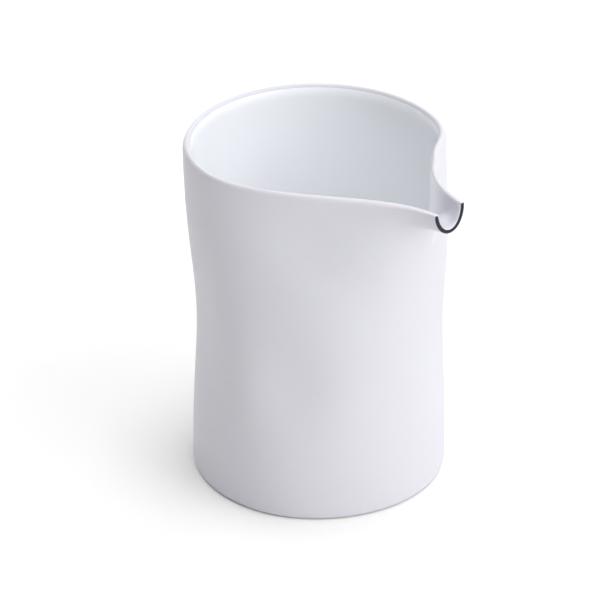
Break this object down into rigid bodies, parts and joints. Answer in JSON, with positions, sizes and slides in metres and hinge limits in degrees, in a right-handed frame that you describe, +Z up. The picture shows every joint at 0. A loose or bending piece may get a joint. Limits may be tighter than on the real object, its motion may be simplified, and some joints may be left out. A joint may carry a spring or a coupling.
{
  "type": "candle melting pot",
  "caption": "Open thin-walled porcelain pouring jug with a gently squeezed waist, a pinched channel spout and a fine dark line fired round the lip of the spout.",
  "frame": {"origin": "middle of the flat foot, on the surface that the jug stands on", "axes": "+Z up along the jug, +X from the jug's middle towards the spout, +Y to the left of the spout as seen from behind it"},
  "size_m": [0.0977, 0.0799, 0.1101],
  "materials": {
    "bisque_porcelain": "smooth unglazed white porcelain, polished to a soft satin",
    "clear_glaze": "thin clear gloss glaze over white porcelain, faintly cool",
    "fired_line": "fired near-black indigo ceramic colour, satin"
  },
  "bodies": {
    "root": {"body": "bisque_porcelain", "inner_glaze": "clear_glaze", "lip_line": "fired_line"}
  },
  "joints": []
}
